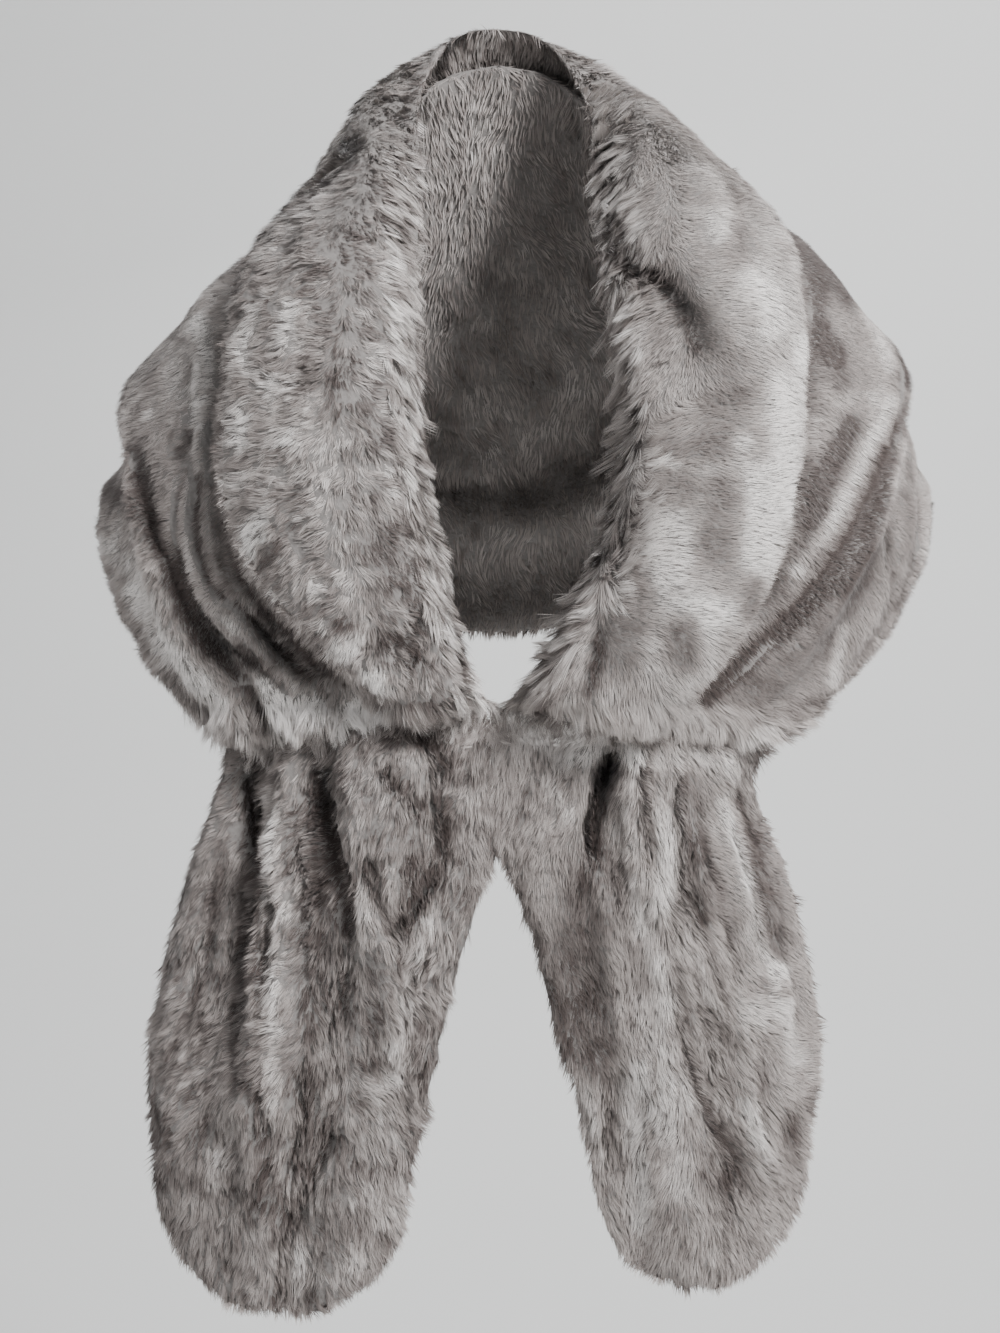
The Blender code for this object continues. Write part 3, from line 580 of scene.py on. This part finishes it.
# Where the nap lies smooth and short (+) or stands up shaggy (-), in the same way.
naps = {
    "capeCloth": [
        (((-194, -47), (-197, -105), (-194, -169), (-179, -221), (-151, -257)), 29, 0.9),
        (((-246, -182), (-236, -227)), 13, 0.3), (((-170, -289), (-136, -300), (-107, -308)), 13, -0.5),
        (((-223, -247), (-191, -279), (-168, -305)), 9, -0.3),
        (((197, -1), (242, -60), (255, -124), (229, -195), (184, -260)), 36, 0.6),
    ],
    "collarCloth": [
        (((132, 37), (168, -47), (165, -144), (132, -221), (100, -266)), 32, 0.5),
        (((62, 128), (68, 70), (75, 5), (73, -47), (75, -105), (68, -156), (51, -215), (42, -260)),
          8, -0.9),
        (((-62, 115), (-54, 37), (-52, -47), (-54, -111), (-45, -182), (-29, -247)), 10, 0.4),
    ],
    "tailRightCloth": [
        (((-181, -389), (-174, -454)), 10, 0.4), (((-65, -383), (-42, -370)), 12, 0.4),
        (((-41, -447), (-50, -512), (-58, -583)), 13, -0.8),
        (((-233, -479), (-241, -544), (-231, -609)), 8, -0.4), (((-75, -596), (-81, -647)), 13, -0.5),
    ],
    "tailLeftCloth": [
        (((32, -383), (51, -447), (68, -505)), 19, 0.5),
        (((135, -344), (157, -408), (170, -447)), 14, 0.9),
        (((184, -389), (197, -454), (205, -512)), 14, 0.6),
        (((129, -441), (144, -492), (163, -544), (177, -583)), 12, -0.8),
        (((93, -324), (97, -383), (106, -415)), 10, -0.5),
        (((16, -402), (32, -467), (51, -531)), 5, -0.4),
    ],
}

# part: where on its cloth a pile grows. under: the cloth that may cover it there.
# hairs: how many. length and width: a hair's, in mm. tuft: hairs to a tuft. gather: how far their tips meet.
# ruffle: how unlike its tufts are. swirls: (angle in radians, size in mm) of its wandering. crinkle: how
# strongly the nap parts along fine cracks. light: how pale it is, from its cloth's middle tone; it is partly
# painted shade, set darker on the wearer's right of the collar and the tails, which lie away from the light.
capeTop = {"on": "capeCloth", "under": "collarCloth", "length": 9, "width": 0.55, "tuft": 16}
collarTop = {"on": "collarCloth", "under": "capeCloth", "length": 9.5, "tuft": 16}
tailFront = {"part": "front", "length": 9.5, "width": 0.55, "tuft": 16}
cinchFringe = {
    "part": "cinch", "hairs": 13000, "length": 17, "width": 0.65, "tuft": 30, "gather": 0.45,
    "ruffle": 0.9, "swirls": ((0.4, 18), (0.3, 8)), "crinkle": 0.0, "light": 0.0,
}
tailTop = {
    "part": "top", "hairs": 7000, "length": 8, "width": 0.6, "tuft": 24, "gather": 0.5,
    "ruffle": 1.2, "swirls": ((0.6, 14), (0.5, 6)), "crinkle": 0.0,
}
tailBehind = {
    "part": "behind", "length": 11, "width": 1.1, "tuft": 12, "gather": 0.28,
    "ruffle": 0.7, "swirls": ((0.4, 28), (0.3, 10)), "crinkle": 0.4,
}
piles = [
    {
        **capeTop, "name": "pileCapeRight", "part": "right", "seed": 11, "hairs": 108000, "gather": 0.25,
        "ruffle": 0.8, "swirls": ((0.5, 30), (0.35, 10)), "crinkle": 0.7, "light": -0.1,
    },
    {
        **capeTop, "name": "pileCapeLeft", "part": "left", "seed": 12, "hairs": 108000, "gather": 0.2,
        "ruffle": 0.4, "swirls": ((0.35, 40), (0.15, 12)), "crinkle": 0.2, "light": -0.17,
    },
    {
        "name": "pileCapeBack", "on": "capeCloth", "part": "back", "under": "collarCloth", "seed": 13,
        "hairs": 86000, "length": 10, "width": 0.8, "tuft": 16, "gather": 0.25, "ruffle": 0.6,
        "swirls": ((0.5, 35), (0.3, 12)), "crinkle": 0.4, "light": -0.04,
    },
    {
        "name": "pileCapeInside", "on": "capeCloth", "part": "inside", "seed": 14,
        "hairs": 46000, "length": 11, "width": 1.25, "tuft": 12, "gather": 0.25, "ruffle": 0.6,
        "swirls": ((0.5, 35), (0.3, 12)), "crinkle": 0.3, "light": 0.0,
    },
    {
        **collarTop, "name": "pileCollarRight", "part": "collar right", "seed": 15, "hairs": 105000,
        "width": 0.55, "gather": 0.3, "ruffle": 1.0, "swirls": ((0.55, 24), (0.6, 8)), "crinkle": 1.0,
        "light": -0.17,
    },
    {
        **collarTop, "name": "pileCollarLeft", "part": "collar left", "seed": 16, "hairs": 112000,
        "width": 0.5, "gather": 0.2, "ruffle": 0.4, "swirls": ((0.3, 40), (0.15, 12)), "crinkle": 0.2,
        "light": 0.0,
    },
    {
        "name": "pileCollarBack", "on": "collarCloth", "part": "collar back", "under": "capeCloth",
        "seed": 17, "hairs": 44000, "length": 10, "width": 0.8, "tuft": 16, "gather": 0.25,
        "ruffle": 0.7, "swirls": ((0.5, 30), (0.4, 10)), "crinkle": 0.4, "light": -0.04,
    },
    {
        "name": "pileCollarRoll", "on": "collarCloth", "part": "roll", "under": "capeCloth", "seed": 22,
        "hairs": 30000, "length": 16, "width": 0.65, "tuft": 40, "gather": 0.6, "ruffle": 1.3,
        "swirls": ((0.5, 18), (0.5, 7)), "crinkle": 0.0, "light": 0.14,
    },
    {**cinchFringe, "name": "pileCapeCinch", "on": "capeCloth", "seed": 23},
    {**cinchFringe, "name": "pileCollarCinch", "on": "collarCloth", "seed": 24},
    {**tailTop, "name": "pileTailRightCinch", "on": "tailRightCloth", "seed": 25, "light": 0.0},
    {**tailTop, "name": "pileTailLeftCinch", "on": "tailLeftCloth", "seed": 26, "light": 0.04},
    {
        **tailFront, "name": "pileTailRight", "on": "tailRightCloth", "seed": 18, "hairs": 98000,
        "gather": 0.3, "ruffle": 0.8, "swirls": ((0.4, 24), (0.3, 9)), "crinkle": 1.0, "light": -0.18,
    },
    {
        **tailFront, "name": "pileTailLeft", "on": "tailLeftCloth", "seed": 19, "hairs": 88000,
        "gather": 0.25, "ruffle": 0.6, "swirls": ((0.35, 28), (0.25, 10)), "crinkle": 0.6, "light": -0.04,
    },
    {
        **tailBehind, "name": "pileTailRightBack", "on": "tailRightCloth", "seed": 20,
        "hairs": 26000, "light": -0.06,
    },
    {
        **tailBehind, "name": "pileTailLeftBack", "on": "tailLeftCloth", "seed": 21,
        "hairs": 24000, "light": -0.04,
    },
]
rootDepth = 0.8  # mm below the backing's face that a hair starts
lean = 0.36  # how steeply the nap stands, in radians
clearance = 0.3  # the least share of a hair's way that leads off the cloth
standUp = 0.8  # how much steeper it stands at the foot of a crease
frontShare = 0.6  # how much denser the pile is where it faces the front
crackSize = 5 * mm
# how much painted shade the hairs at a crack get: those cut short at it, and those rooted in it
crackShade = {"parted": 0.4, "crack": 0.25}
# how far tufts, and the hairs in one, stray: angles in radians, shares of length and of shade
tuftSpread = {"turn": 0.22, "length": 0.09, "shade": 0.06, "rise": 0.06}
hairSpread = {"turn": 0.12, "rise": 0.06, "roll": 0.25, "shade": 0.05}
middle = np.array([0, 0, -0.12])  # inside the wearer, to tell a wall's outer face from its inner one
shoulderLine = 30 * mm  # the front's pile ends here
topLine = -316  # above this height on the upright plane the tails' pile runs up into the cinch
cinchLine = -286  # below this one the cape and the collar have a longer fringe
reach = {"above": 22 * mm, "aside": 60 * mm, "ahead": 400 * mm}  # open, if nothing is this near a place


def inPart(part, points, normals, rng):
    outer = ((points - middle) * normals).sum(1) > 0
    if part.startswith("collar"):  # all of it, as the underside lies on the cape
        outer[:] = True
        part = part.removeprefix("collar ")
    side = points[:, 0] + rng.normal(0, 3 * mm, len(points))
    back = points[:, 1] + rng.normal(0, 6 * mm, len(points)) > shoulderLine
    inward = -np.sign(points[:, 0]) * normals[:, 0]
    return {
        "right": outer & ~back & (side < 0),
        "left": outer & ~back & (side >= 0),
        "back": outer & back,
        "inside": ~outer,
        "front": normals[:, 1] < 0,
        "behind": normals[:, 1] >= 0,
        "roll": ~back & (inward > 0.45) & (normals[:, 1] < 0.5),
        "top": (onPlane(points)[:, 1] > topLine) & (normals[:, 1] < 0.3),
        "cinch": (onPlane(points)[:, 1] < cinchLine) & (normals[:, 1] < 0.3),
    }[part]


def combed(points, normals, cloth, tree):
    guides = []
    for rows, cast in ((combs[cloth], seen), (backCombs[cloth], seenFromBehind)):
        for x, z, turn in rows:
            turn = math.radians(turn)
            guides.append((*cast(tree, x, z)[0], math.sin(turn), 0, -math.cos(turn)))
    guides = np.array(guides)
    lie = np.empty_like(points)
    for k in range(0, len(points), 20000):
        away = ((points[k : k + 20000, None] - guides[None, :, :3]) ** 2).sum(2)
        share = 1 / (away + (7 * mm) ** 2) ** 2
        lie[k : k + 20000] = (share[..., None] * guides[None, :, 3:]).sum(1)
    lie = unit(lie)
    return unit(lie - normals * (lie * normals).sum(1, keepdims=True))


def turned(lie, normals, angle):
    return lie * np.cos(angle)[:, None] + np.cross(normals, lie) * np.sin(angle)[:, None]


def strokeField(points, normals, rows):
    spots = onPlane(points)
    field = np.zeros(len(points))
    for way, width, amount in rows:
        way = np.array(way, float)
        near = np.full(len(points), 1e9)
        for a, b in zip(way[:-1], way[1:]):
            t = np.clip((spots - a) @ (b - a) / max((b - a) @ (b - a), 1e-9), 0, 1)
            near = np.minimum(near, np.linalg.norm(spots - a - t[:, None] * (b - a), axis=1))
        field += amount * np.exp(-((near / width) ** 3))
    return field * ease(0.5 - normals[:, 1] * 3)


def isOpen(spot, up, others):
    if others[0].ray_cast(spot, up, reach["above"])[0] is None:
        return True
    aside = up.orthogonal().normalized()
    spot = spot + up * 2 * mm
    for turn in range(6):  # covered, but some way out may be open
        aside.rotate(Quaternion(up, math.pi / 3))
        way = (aside * 2 + up).normalized()
        if all(tree.ray_cast(spot, way, reach["aside"])[0] is None for tree in others):
            return True
    ahead = (eye - spot).normalized()
    return all(tree.ray_cast(spot, ahead, reach["ahead"])[0] is None for tree in others)


def growPile(pile):
    rng = np.random.default_rng(pile["seed"])
    cloth = pile["on"]
    mesh = cloths[cloth].data
    points = places(mesh)
    normals = outward(mesh)
    lie = lies[cloth] * (-1 if pile["part"] == "top" else 1)
    for k, (angle, size) in enumerate(pile["swirls"]):
        lie = turned(lie, normals, softNoise(points, size * mm, pile["seed"] + k * 5) * 1.8 * angle)

    mesh.calc_loop_triangles()
    corners = np.empty(len(mesh.loop_triangles) * 3, int)
    mesh.loop_triangles.foreach_get("vertices", corners)
    corners = corners.reshape(-1, 3)
    centre = points[corners].mean(1)
    facing = unit(normals[corners].mean(1))
    first, second, third = points[corners].transpose(1, 0, 2)
    area = np.linalg.norm(np.cross(second - first, third - first), axis=1) / 2
    flatPoints, flatNormals = unpressed[cloth]
    wanted = inPart(pile["part"], flatPoints[corners].mean(1), unit(flatNormals[corners].mean(1)), rng)
    if "under" in pile:  # none where another piece lies close on it
        others = [surfaceTree(cloths[pile["under"]].data), surfaceTree(mesh)]
        for k in np.nonzero(wanted)[0]:
            wanted[k] = isOpen(Vector(centre[k]), Vector(facing[k]), others)
    share = area * wanted * (1 + frontShare * (facing[:, 1] < 0))
    count = pile["hairs"]
    chosen = corners[rng.choice(len(share), count, p=share / share.sum())]
    r, s = rng.random((2, count))
    r = np.sqrt(r)
    mix = np.stack([1 - r, r * (1 - s), r * s], 1)[..., None]
    root, up, lieHere, flatUp = ((v[chosen] * mix).sum(1) for v in (points, normals, lie, flatNormals))
    up = unit(up)
    flatUp = unit(flatUp)
    lieHere = unit(lieHere - flatUp * (lieHere * flatUp).sum(1, keepdims=True))
    squeeze = (squeezed[cloth][chosen] * mix[..., 0]).sum(1)
    calm = np.clip(strokeField(root, flatUp, naps[cloth]), -1, 1)

    # every few hairs share a tuft, which leans, grows and shades as one
    tufts = max(count // pile["tuft"], 1)
    spots = nearestTree(root[:tufts])
    tuft = np.array([spots.find(p)[1] for p in root])
    ruffle = pile["ruffle"] * (1 - 0.7 * calm)
    tuftTurn = rng.normal(0, tuftSpread["turn"], tufts)[tuft] * ruffle
    tuftLength = rng.normal(1, tuftSpread["length"], tufts)[tuft] ** ruffle * (1 - 0.3 * calm)
    tuftShade = rng.normal(0, tuftSpread["shade"], tufts)[tuft] * ruffle
    tuftRise = rng.normal(0, tuftSpread["rise"], tufts)[tuft] * ruffle - 0.1 * calm

    loose = 0.4 + 0.6 * ruffle
    lieHere = turned(lieHere, flatUp, tuftTurn + rng.normal(0, hairSpread["turn"] * loose))
    length = (pile["length"] * mm * tuftLength * rng.uniform(0.75, 1.1, count))[:, None]
    stray = rng.normal(0, hairSpread["rise"] * loose)
    rise = (lean + tuftRise + stray + standUp * squeeze)[:, None]
    root = root - up * (rootDepth - 0.6 * squeeze)[:, None] * mm
    # a hair follows the cloth's broad form, but keeps clear of a crease's walls and stands up at its foot
    way = lieHere * np.cos(rise) + flatUp * np.sin(rise)
    clear = (clearance + 0.6 * squeeze)[:, None] - (way * up).sum(1, keepdims=True)
    tip = root + length * unit(way + up * np.maximum(clear, 0))
    gather = (pile["gather"] * (1 - 0.5 * calm) * rng.uniform(0.4, 1.2, count))[:, None]
    tip = tip + (tip[:tufts][tuft] - tip) * gather

    # in places the nap parts along fine cracks: the hairs that would lie across one end at it
    parted = np.zeros(count)
    crack = np.zeros(count)
    if pile["crinkle"]:
        stretch = np.array([1, 0.6, 0.28 if cloth.startswith("tail") else 0.5])
        before = softNoise(root * stretch, crackSize, pile["seed"] + 2)
        after = softNoise(tip * stretch, crackSize, pile["seed"] + 2)
        place = ease(0.3 + 2 * softNoise(root, 36 * mm, pile["seed"]) + 0.4 * pile["crinkle"])
        place *= pile["crinkle"] * (1 - np.clip(calm, 0, 0.9))
        share = np.abs(before) / (np.abs(before) + np.abs(after) + 1e-9)
        parted = np.where(before * after < 0, 1 - np.clip(share, 0.2, 1), 0) * place
        crack = np.exp(-((before / 0.1) ** 2)) * place
        tip = root + (tip - root) * (1 - parted)[:, None]

    along = unit(tip - root)
    side = unit(np.cross(along, up))
    over = np.cross(side, along)
    roll = rng.normal(0, hairSpread["roll"], count)[:, None]
    side = side * np.cos(roll) + over * np.sin(roll)
    half = side * pile["width"] * mm / 2 * rng.uniform(0.6, 1.4, count)[:, None]
    hair = np.stack([root - half, root + half, tip], 1)

    made = bpy.data.meshes.new(pile["name"])
    made.vertices.add(count * 3)
    made.vertices.foreach_set("co", hair.reshape(-1))
    made.loops.add(count * 3)
    made.loops.foreach_set("vertex_index", np.arange(count * 3))
    made.polygons.add(count)
    made.polygons.foreach_set("loop_start", np.arange(count) * 3)
    made.update(calc_edges=True)
    made.shade_smooth()

    # each hair takes the tone of where its middle lies: painted shade of creases and hollows, random mottle,
    # and the strokes' painted shadows, lit edges and nap patches
    centres = (root + tip) / 2
    spots = nearestTree(points)
    near = np.array([spots.find(p)[1] for p in centres])
    napAndShadeHere = strokeField(centres, flatUp, napAndPaintedShading[cloth]) * patchStrength[cloth]
    toneHere = tones[cloth][near] + napAndShadeHere

    # the map holds each hair's shade across, and the way from root to tip along
    stray = rng.normal(0, hairSpread["shade"] * loose)
    shade = 0.5 + pile["light"] + toneHere + tuftShade + stray
    # painted shade in the cracks
    shade -= crackShade["parted"] * parted + crackShade["crack"] * crack
    across = np.clip(shade, 0.03, 0.97)[:, None] + np.array([-0.006, 0.006, 0])
    alongHair = np.broadcast_to([0.02, 0.02, 0.98], across.shape)
    layer = made.uv_layers.new(name="OFBake")
    layer.uv.foreach_set("vector", np.stack([across, alongHair], 2).reshape(-1))

    # hairs lie close, so they shade mostly as the surface that they make together
    facet = unit(np.cross(side, along))
    soft = np.stack([unit(up + facet * share) for share in (0.4, 0.4, 0.8)], 1)
    made.normals_split_custom_set_from_vertices(soft.reshape(-1, 3))

    return addPiece(pile["name"], made)


mottles = ((40 * mm, 31, 0.14), (12 * mm, 41, 0.22), (6 * mm, 51, 0.16))  # size, seed, strength
collarMottle = 1.7
patchStrength = {"capeCloth": 3.6, "collarCloth": 3.8, "tailRightCloth": 1.8, "tailLeftCloth": 2.6}
lies = {}
tones = {}
for number, (name, piece) in enumerate(cloths.items()):
    points = places(piece.data)
    normals = outward(piece.data)
    lies[name] = combed(points, normals, name, surfaceTree(piece.data))
    wide, small, fine = (softNoise(points, size, number + seed) * share for size, seed, share in mottles)
    # the wearer's right side is the more ruffled one
    mottle = np.where(points[:, 0] < 0, wide + small + fine, (wide + small) * 0.5)
    mottle *= collarMottle if name == "collarCloth" else 1
    # a place's tone: painted shading from creases and hollows, plus random mottle
    tones[name] = paintedShading[name] + mottle
print("nap laid out")

grown = {}
for pile in piles:
    grown[pile["name"]] = growPile(pile)
    print(pile["name"], "grown,", pile["hairs"], "hairs")

fur = {
    "dark": (0.07, 0.05, 0.045, 1),
    "mid": (0.455, 0.407, 0.385, 1),
    "pale": (0.95, 0.913, 0.888, 1),
    "root": (0.55, 0.55, 0.55, 1),  # the colour is multiplied by this at a hair's root,
    "tip": (1, 1, 1, 1),  # and by this towards its tip
    "roughness": 0.6,
    "sheen": 0.2,
}
# the backing's own grain, kept dark so that where it shows between hairs it stands in as painted shade
weaveAndPaintedShade = {
    "dark": (0.15, 0.14, 0.134, 1),
    "pale": (0.28, 0.262, 0.252, 1),
    "grain": 260,
    "roughness": 0.9,
}


def newMaterial(name, roughness):
    material = bpy.data.materials.new(name)
    material.use_nodes = True
    shader = material.node_tree.nodes["Principled BSDF"]
    shader.inputs["Roughness"].default_value = roughness
    return material, shader


def newRamp(nodes, low, high):
    ramp = nodes.new("ShaderNodeValToRGB")
    ramp.color_ramp.elements[0].color = low
    ramp.color_ramp.elements[1].color = high
    return ramp


def furMaterial(name, finish):
    material, shader = newMaterial(name, finish["roughness"])
    nodes, links = material.node_tree.nodes, material.node_tree.links
    shader.inputs["Sheen Weight"].default_value = finish["sheen"]
    shader.inputs["Sheen Roughness"].default_value = 0.5
    shader.inputs["Specular IOR Level"].default_value = 0.35
    hairMap = nodes.new("ShaderNodeUVMap")
    hairMap.uv_map = "OFBake"
    parts = nodes.new("ShaderNodeSeparateXYZ")
    links.new(hairMap.outputs["UV"], parts.inputs[0])
    shades = newRamp(nodes, finish["dark"], finish["pale"])
    shades.color_ramp.elements.new(0.5).color = finish["mid"]
    links.new(parts.outputs["X"], shades.inputs["Fac"])
    length = newRamp(nodes, finish["root"], finish["tip"])
    length.color_ramp.elements[1].position = 0.6
    links.new(parts.outputs["Y"], length.inputs["Fac"])
    both = nodes.new("ShaderNodeMix")
    both.data_type = "RGBA"
    both.blend_type = "MULTIPLY"
    both.inputs["Factor"].default_value = 1
    links.new(shades.outputs["Color"], both.inputs["A"])
    links.new(length.outputs["Color"], both.inputs["B"])
    links.new(both.outputs["Result"], shader.inputs["Base Color"])
    return material


def backingMaterial(name, finish):
    material, shader = newMaterial(name, finish["roughness"])
    nodes, links = material.node_tree.nodes, material.node_tree.links
    place = nodes.new("ShaderNodeTexCoord")
    grain = nodes.new("ShaderNodeTexNoise")
    grain.inputs["Scale"].default_value = finish["grain"]
    grain.inputs["Detail"].default_value = 3
    links.new(place.outputs["Object"], grain.inputs["Vector"])
    shades = newRamp(nodes, finish["dark"], finish["pale"])
    links.new(grain.outputs["Fac"], shades.inputs["Fac"])
    links.new(shades.outputs["Color"], shader.inputs["Base Color"])
    bump = nodes.new("ShaderNodeBump")
    bump.inputs["Distance"].default_value = 1 * mm
    links.new(grain.outputs["Fac"], bump.inputs["Height"])
    links.new(bump.outputs["Normal"], shader.inputs["Normal"])
    return material


greyFur = furMaterial("greyFur", fur)
backing = backingMaterial("furBacking", weaveAndPaintedShade)

# The backing was only this fine to grow the pile on. Its creases stay fine, so that nothing bridges them.
facesKept = 0.34
creased = 3.5 * mm  # places that were pressed further than this stay
for name, piece in cloths.items():
    pressed = np.linalg.norm(places(piece.data) - unpressed[name][0], axis=1)
    plain = piece.vertex_groups.new(name="plain")
    plain.add(np.nonzero(pressed < creased)[0].tolist(), 1, "REPLACE")
    coarser = piece.modifiers.new("coarser", "DECIMATE")
    coarser.ratio = facesKept
    coarser.vertex_group = plain.name
    onlySelect(piece)
    bpy.ops.object.modifier_apply(modifier=coarser.name)
    piece.vertex_groups.clear()
    bpy.ops.object.shade_smooth()

for cloth in sheets:
    piece = cloths[cloth["name"]]
    piece.data.materials.append(backing)
    hairs = [grown[pile["name"]] for pile in piles if pile["on"] == cloth["name"]]
    for hair in hairs:
        hair.data.materials.append(greyFur)
        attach(hair, "root")
    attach(piece, "root")
    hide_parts(cloth["node"])
print("finishes on,", sum(len(o.data.polygons) for o in grown.values()), "hairs,",
      [len(o.data.polygons) for o in cloths.values()], "faces of backing")

studio = {
    "floorHeight": -1.35,
    "wallAt": 3.0,
    "half": 6.0,
    "height": 4.0,
    "bend": 1.5,
    "pale": (0.83, 0.835, 0.83, 1),
}


def makeStudio():
    bpy.ops.mesh.primitive_grid_add(x_subdivisions=1, y_subdivisions=24, size=2)
    sweep = bpy.context.object
    sweep.name = "studioSweep"
    rows = places(sweep.data)
    bend = studio["bend"]
    flat = studio["wallAt"] + studio["half"] - bend
    rise = studio["height"] - bend
    total = flat + bend * math.pi / 2 + rise
    run = (rows[:, 1] + 1) / 2 * total
    turn = np.clip((run - flat) / bend, 0, math.pi / 2)
    x = rows[:, 0] * studio["half"]
    y = -studio["half"] + np.minimum(run, flat) + bend * np.sin(turn)
    z = studio["floorHeight"] + bend * (1 - np.cos(turn)) + np.maximum(run - flat - bend * math.pi / 2, 0)
    putPlaces(sweep.data, np.stack([x, y, z], 1))
    sweep.data.shade_smooth()
    paper, shader = newMaterial("studioPaper", 0.9)
    shader.inputs["Base Color"].default_value = studio["pale"]
    sweep.data.materials.append(paper)


# each light's place, what it points at, its size and its power
lights = {
    "keyLight": ((1.6, -2.0, 1.6), (0, 0, -0.25), 0.9, 166),
    "fillLight": ((-2.2, -0.5, 0.2), (0, 0, -0.25), 1.8, 13),
    "backLight": ((-0.5, 2.2, 1.6), (0, 0, -0.2), 1.5, 25),
    "wallLight": ((1.2, 0.8, 1.8), (0.4, 3, 0.4), 1.5, 40),
}


def makeLight(name, place, aim, size, power):
    data = bpy.data.lights.new(name, "AREA")
    data.shape = "DISK"
    data.size = size
    data.energy = power
    lamp = addPiece(name, data)
    lamp.location = place
    lamp.rotation_euler = (Vector(aim) - Vector(place)).to_track_quat("-Z", "Y").to_euler()


makeStudio()
for name, light in lights.items():
    makeLight(name, *light)
world = bpy.data.worlds.new("studioAir")
world.use_nodes = True
air = world.node_tree.nodes["Background"].inputs
air["Color"].default_value = (0.97, 0.98, 1.0, 1)
air["Strength"].default_value = 0.27
bpy.context.scene.world = world

camera = addPiece("camera", bpy.data.cameras.new("camera"))
camera.location = eye
camera.rotation_euler = (math.radians(90), 0, 0)
camera.data.lens = 58.5
camera.data.sensor_width = 36
camera.data.clip_start = 0.05
bpy.context.scene.camera = camera
print("studio ready")
